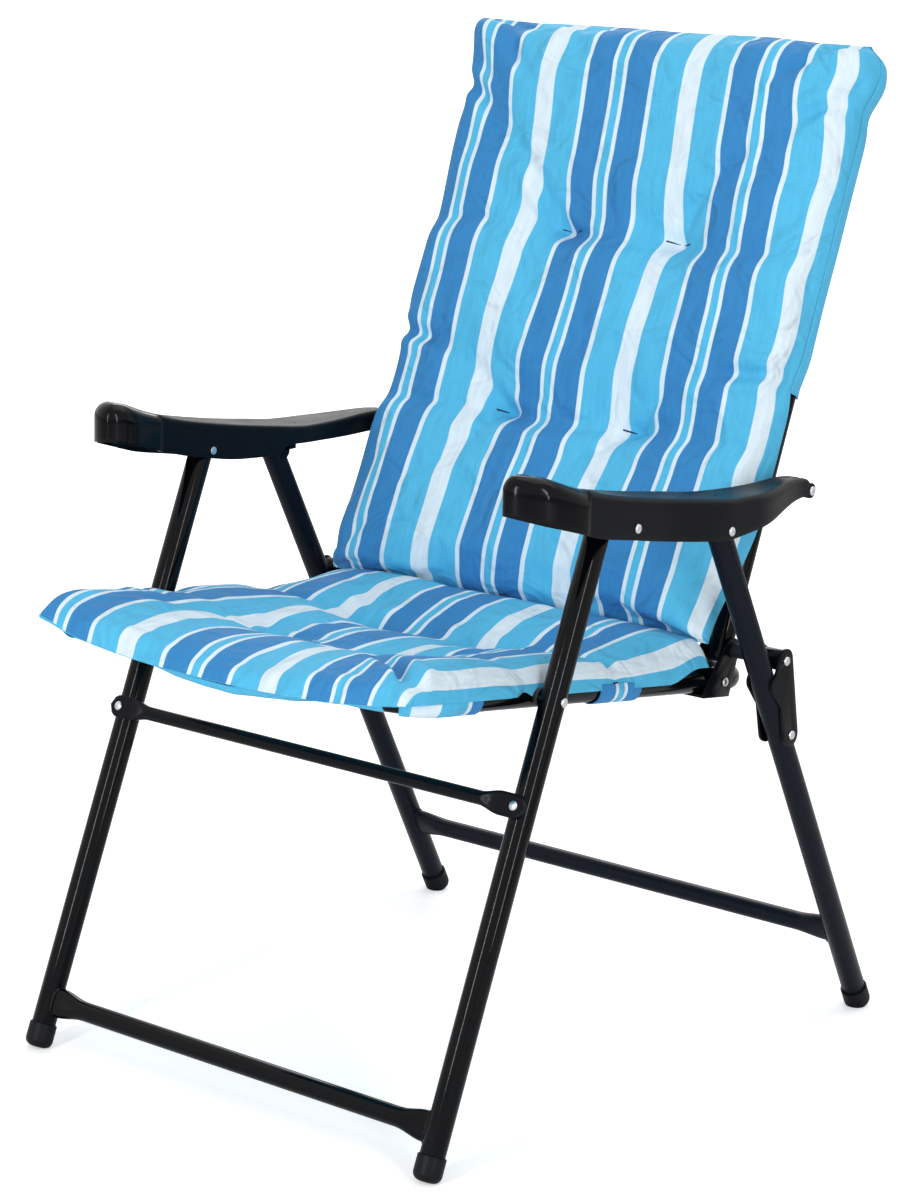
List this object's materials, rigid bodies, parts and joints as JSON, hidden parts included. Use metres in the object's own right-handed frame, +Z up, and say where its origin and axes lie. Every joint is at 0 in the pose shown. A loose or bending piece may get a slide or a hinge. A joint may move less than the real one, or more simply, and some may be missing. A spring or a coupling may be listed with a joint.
{
  "type": "folding armchair",
  "caption": "Folding outdoor armchair with a bent steel tube frame, moulded armrests and a tufted, striped seat and back pad.",
  "frame": {"origin": "on the floor under the middle of the chair's footprint", "axes": "+Z up, -Y the way the sitter faces, +X the sitter's left"},
  "size_m": [0.5482, 0.6708, 0.9001],
  "materials": {
    "gloss_black_tube": "gloss black powder coat",
    "satin_black_tube": "satin blue-black powder coat",
    "black_plate": "black coated pressed steel",
    "arm_plastic": "gloss moulded polypropylene",
    "cap_plastic": "matte black plastic",
    "nylon": "black nylon",
    "zinc_steel": "zinc plated steel",
    "striped_cloth": "woven polyester with lengthwise blue and white stripes",
    "liner_cloth": "plain light blue woven polyester"
  },
  "bodies": {
    "front_frame": {"arm_front_rivet_left": "zinc_steel", "arm_front_rivet_right": "zinc_steel", "front_foot_cap_left": "cap_plastic", "front_foot_cap_right": "cap_plastic", "front_leg_left": "gloss_black_tube", "front_leg_right": "gloss_black_tube", "lower_crossbar": "gloss_black_tube", "seat_pivot_rivet_left": "zinc_steel", "seat_pivot_rivet_right": "zinc_steel", "seat_pivot_spacer_left": "nylon", "seat_pivot_spacer_right": "nylon", "strap_rivet_left": "zinc_steel", "strap_rivet_right": "zinc_steel", "upper_cross_strap": "black_plate"},
    "seat_frame": {"back_pivot_bolt_left": "zinc_steel", "back_pivot_bolt_right": "zinc_steel", "back_pivot_sleeve_left": "nylon", "back_pivot_sleeve_right": "nylon", "bracket_rivet_left": "zinc_steel", "bracket_rivet_right": "zinc_steel", "hinge_bracket_left": "black_plate", "hinge_bracket_right": "black_plate", "seat_base_cloth": "liner_cloth", "seat_loop_left": "striped_cloth", "seat_loop_right": "striped_cloth", "seat_pad": "striped_cloth", "seat_ring_joiner": "zinc_steel", "seat_ring_tube": "gloss_black_tube"},
    "back_frame": {"arm_rear_rivet_left": "zinc_steel", "arm_rear_rivet_right": "zinc_steel", "back_base_cloth": "liner_cloth", "back_pad": "striped_cloth", "back_pocket": "striped_cloth", "back_post_plug_left": "cap_plastic", "back_post_plug_right": "cap_plastic", "back_tube": "gloss_black_tube"},
    "arm_left": {"arm_rear_bush_left": "nylon", "armrest_left": "arm_plastic", "rear_leg_rivet_left": "zinc_steel"},
    "arm_right": {"arm_rear_bush_right": "nylon", "armrest_right": "arm_plastic", "rear_leg_rivet_right": "zinc_steel"},
    "rear_frame": {"link_lower_rivet_left": "zinc_steel", "link_lower_rivet_right": "zinc_steel", "rear_crossbar": "satin_black_tube", "rear_foot_cap_left": "cap_plastic", "rear_foot_cap_right": "cap_plastic", "rear_leg_left": "satin_black_tube", "rear_leg_right": "satin_black_tube"},
    "link_left": {"link_barrel_left": "black_plate", "link_inner_cheek_left": "black_plate", "link_outer_cheek_left": "black_plate", "link_top_rivet_left": "zinc_steel"},
    "link_right": {"link_barrel_right": "black_plate", "link_inner_cheek_right": "black_plate", "link_outer_cheek_right": "black_plate", "link_top_rivet_right": "zinc_steel"}
  },
  "joints": [
    {"name": "seat_fold", "type": "hinge", "parent": "front_frame", "child": "seat_frame", "pos_m": [0, -0.16499, 0.3805], "axis": [-1, 0, 0], "range_deg": [0, 85]},
    {"name": "back_fold", "type": "hinge", "parent": "seat_frame", "child": "back_frame", "pos_m": [0, 0.11897, 0.37047], "axis": [1, 0, 0], "range_deg": [0, 85], "deforming": ["seat_pad", "back_pad"]},
    {"name": "arm_fold_left", "type": "hinge", "parent": "front_frame", "child": "arm_left", "pos_m": [0.227, -0.1073, 0.52351], "axis": [-1, 0, 0], "range_deg": [0, 85]},
    {"name": "arm_fold_right", "type": "hinge", "parent": "front_frame", "child": "arm_right", "pos_m": [-0.227, -0.1073, 0.52351], "axis": [-1, 0, 0], "range_deg": [0, 85]},
    {"name": "rear_leg_fold", "type": "hinge", "parent": "arm_left", "child": "rear_frame", "pos_m": [0.257, 0.0226, 0.50251], "axis": [1, 0, 0], "range_deg": [0, 44.5]},
    {"name": "link_fold_left", "type": "hinge", "parent": "rear_frame", "child": "link_left", "pos_m": [0.257, 0.13256, 0.29998], "axis": [-1, 0, 0], "range_deg": [0, 138.5]},
    {"name": "link_fold_right", "type": "hinge", "parent": "rear_frame", "child": "link_right", "pos_m": [-0.257, 0.13256, 0.29998], "axis": [-1, 0, 0], "range_deg": [0, 138.5]}
  ],
  "couplings": [
    {"joint": "back_fold", "follows": "seat_fold", "ratio": 1},
    {"joint": "arm_fold_left", "follows": "seat_fold", "ratio": 1},
    {"joint": "arm_fold_right", "follows": "seat_fold", "ratio": 1},
    {"joint": "rear_leg_fold", "follows": "seat_fold", "ratio": 0.52235},
    {"joint": "link_fold_left", "follows": "seat_fold", "ratio": 1.6271},
    {"joint": "link_fold_right", "follows": "seat_fold", "ratio": 1.6271}
  ]
}
